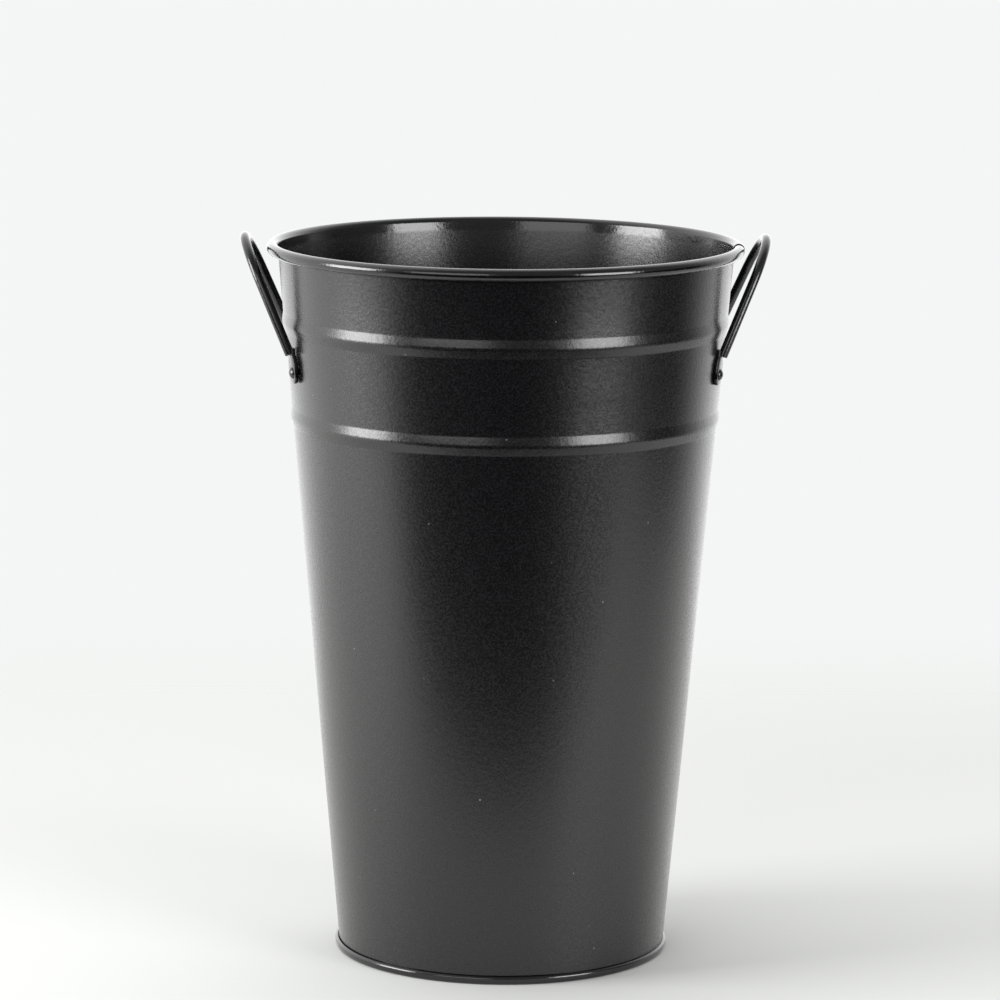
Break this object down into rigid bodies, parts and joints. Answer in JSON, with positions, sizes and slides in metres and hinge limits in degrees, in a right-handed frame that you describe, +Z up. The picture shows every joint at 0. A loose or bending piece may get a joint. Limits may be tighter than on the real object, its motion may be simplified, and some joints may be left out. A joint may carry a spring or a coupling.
{
  "type": "florist bucket",
  "caption": "Tall tapered florist bucket in satin black painted sheet steel, with stiffening beads, a rolled rim, a folded bottom hem and riveted wire ear handles.",
  "frame": {"origin": "centre of the ring that the bucket stands on", "axes": "+Z up along the bucket's axis, X through the two handles, with the side seam at +X"},
  "size_m": [0.2664, 0.2402, 0.3664],
  "materials": {
    "satin_black_paint": "satin black enamel on sheet steel, with a fine orange peel",
    "handle_paint": "semi-gloss black enamel on steel wire",
    "rivet_paint": "satin black enamel, rubbed at the head's edge",
    "sealing_compound": "matt grey can-seam compound"
  },
  "bodies": {
    "root": {"body_wall": "satin_black_paint", "base_disc": "satin_black_paint", "base_seal": "sealing_compound", "handle_left": "handle_paint", "handle_right": "handle_paint", "rivet_left_front": "rivet_paint", "rivet_left_rear": "rivet_paint", "rivet_right_front": "rivet_paint", "rivet_right_rear": "rivet_paint"}
  },
  "joints": []
}
